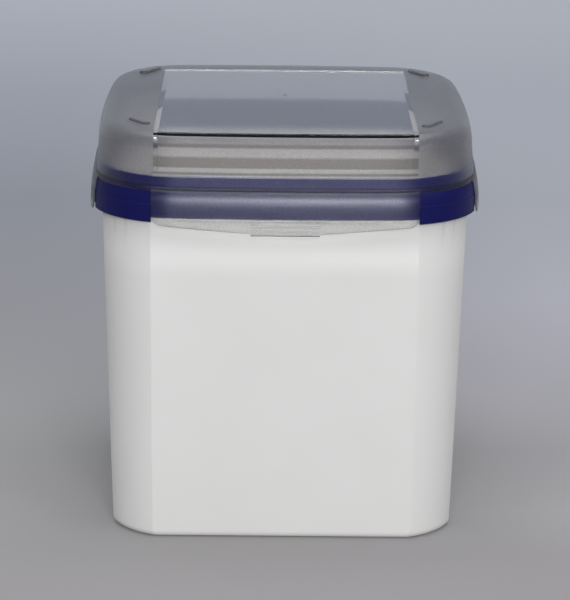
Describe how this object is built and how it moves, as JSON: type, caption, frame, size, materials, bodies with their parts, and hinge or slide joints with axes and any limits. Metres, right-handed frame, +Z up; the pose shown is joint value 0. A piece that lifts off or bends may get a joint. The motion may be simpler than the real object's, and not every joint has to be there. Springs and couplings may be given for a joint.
{
  "type": "rice bin with flip lid",
  "caption": "Square rice bin: a drafted base with rounded corners and flat panels, a press-on sealing ring and a see-through lid hinged at the back.",
  "frame": {"origin": "on the resting plane, under the middle of the base", "axes": "+Z up, -Y towards the front with the lifting tab, +Y towards the hinge, +X to the right as seen from the front"},
  "size_m": [0.2176, 0.2253, 0.2312],
  "materials": {
    "base_white": "fine matte moulded polypropylene",
    "ring_blue": "satin flexible plastic",
    "gasket": "soft silicone",
    "lid_frosted": "smoke-grey clear plastic with a fine frosted texture",
    "window_clear": "smoke-grey clear plastic, polished",
    "pin_steel": "plain drawn steel"
  },
  "bodies": {
    "base": {"base": "base_white"},
    "ring": {"sealing_ring": "ring_blue", "rim_gasket": "gasket", "lid_gasket": "gasket", "hinge_pin_left": "pin_steel", "hinge_pin_right": "pin_steel"},
    "lid": {"lid_shell": "lid_frosted", "window_panel": "window_clear"}
  },
  "joints": [
    {"name": "ring_lift", "type": "slide", "parent": "base", "child": "ring", "axis": [0, 0, 1], "range_m": [0, 0.06]},
    {"name": "lid_hinge", "type": "hinge", "parent": "ring", "child": "lid", "pos_m": [0, 0.1112, 0.197], "axis": [-1, 0, 0], "range_deg": [0, 105]}
  ]
}
